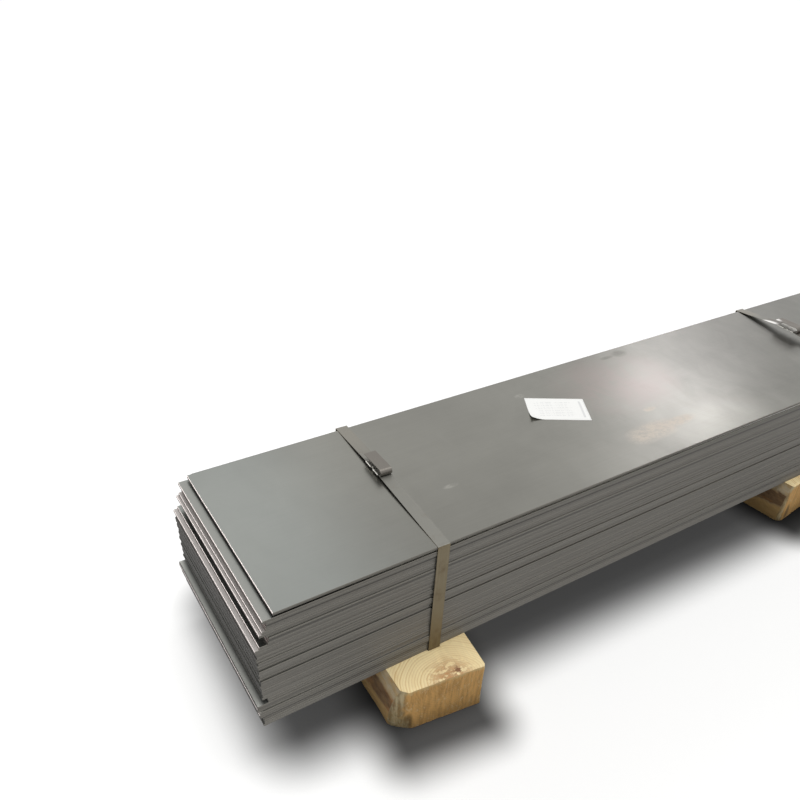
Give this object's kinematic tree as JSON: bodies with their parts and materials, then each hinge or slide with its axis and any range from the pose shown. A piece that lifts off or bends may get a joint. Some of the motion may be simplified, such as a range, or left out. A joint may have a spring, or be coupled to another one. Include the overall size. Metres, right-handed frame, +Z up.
{
  "type": "strapped steel plate bundle",
  "caption": "Bundle of flat sheared steel plates tied with steel straps and resting on sawn timber bearers, ready for lifting by forks or slings.",
  "frame": {"origin": "on the floor under the middle of the bundle's bounding box", "axes": "+X along the plates, +Y across them towards the back, +Z up"},
  "size_m": [2.559, 0.7062, 0.5115],
  "materials": {
    "plate_steel": "dull mill finish with faint rust smears",
    "strap_steel": "waxed steel strapping, slightly stained",
    "seal_steel": "bright crimped sheet steel",
    "label_paper": "matt white paper, blank",
    "timber": "rough sawn pine with wane"
  },
  "bodies": {
    "root": {"plate_01": "plate_steel", "plate_02": "plate_steel", "plate_03": "plate_steel", "plate_04": "plate_steel", "plate_05": "plate_steel", "plate_06": "plate_steel", "plate_07": "plate_steel", "plate_08": "plate_steel", "plate_09": "plate_steel", "plate_10": "plate_steel", "plate_11": "plate_steel", "plate_12": "plate_steel", "plate_13": "plate_steel", "plate_14": "plate_steel", "plate_15": "plate_steel", "plate_16": "plate_steel", "plate_17": "plate_steel", "plate_18": "plate_steel", "plate_19": "plate_steel", "plate_20": "plate_steel", "plate_21": "plate_steel", "plate_22": "plate_steel", "plate_23": "plate_steel", "plate_24": "plate_steel", "plate_25": "plate_steel", "plate_26": "plate_steel", "plate_27": "plate_steel", "plate_28": "plate_steel", "plate_29": "plate_steel", "plate_30": "plate_steel", "plate_31": "plate_steel", "plate_32": "plate_steel", "plate_33": "plate_steel", "plate_34": "plate_steel", "plate_35": "plate_steel", "plate_36": "plate_steel", "plate_37": "plate_steel", "plate_38": "plate_steel", "plate_39": "plate_steel", "plate_40": "plate_steel", "plate_41": "plate_steel", "plate_42": "plate_steel", "plate_43": "plate_steel", "plate_44": "plate_steel", "plate_45": "plate_steel", "plate_46": "plate_steel", "plate_47": "plate_steel", "plate_48": "plate_steel", "plate_49": "plate_steel", "plate_50": "plate_steel", "plate_51": "plate_steel", "strap_left": "strap_steel", "strap_right": "strap_steel", "seal_left": "seal_steel", "seal_right": "seal_steel", "label": "label_paper", "bearer_left": "timber", "bearer_right": "timber"}
  },
  "joints": []
}
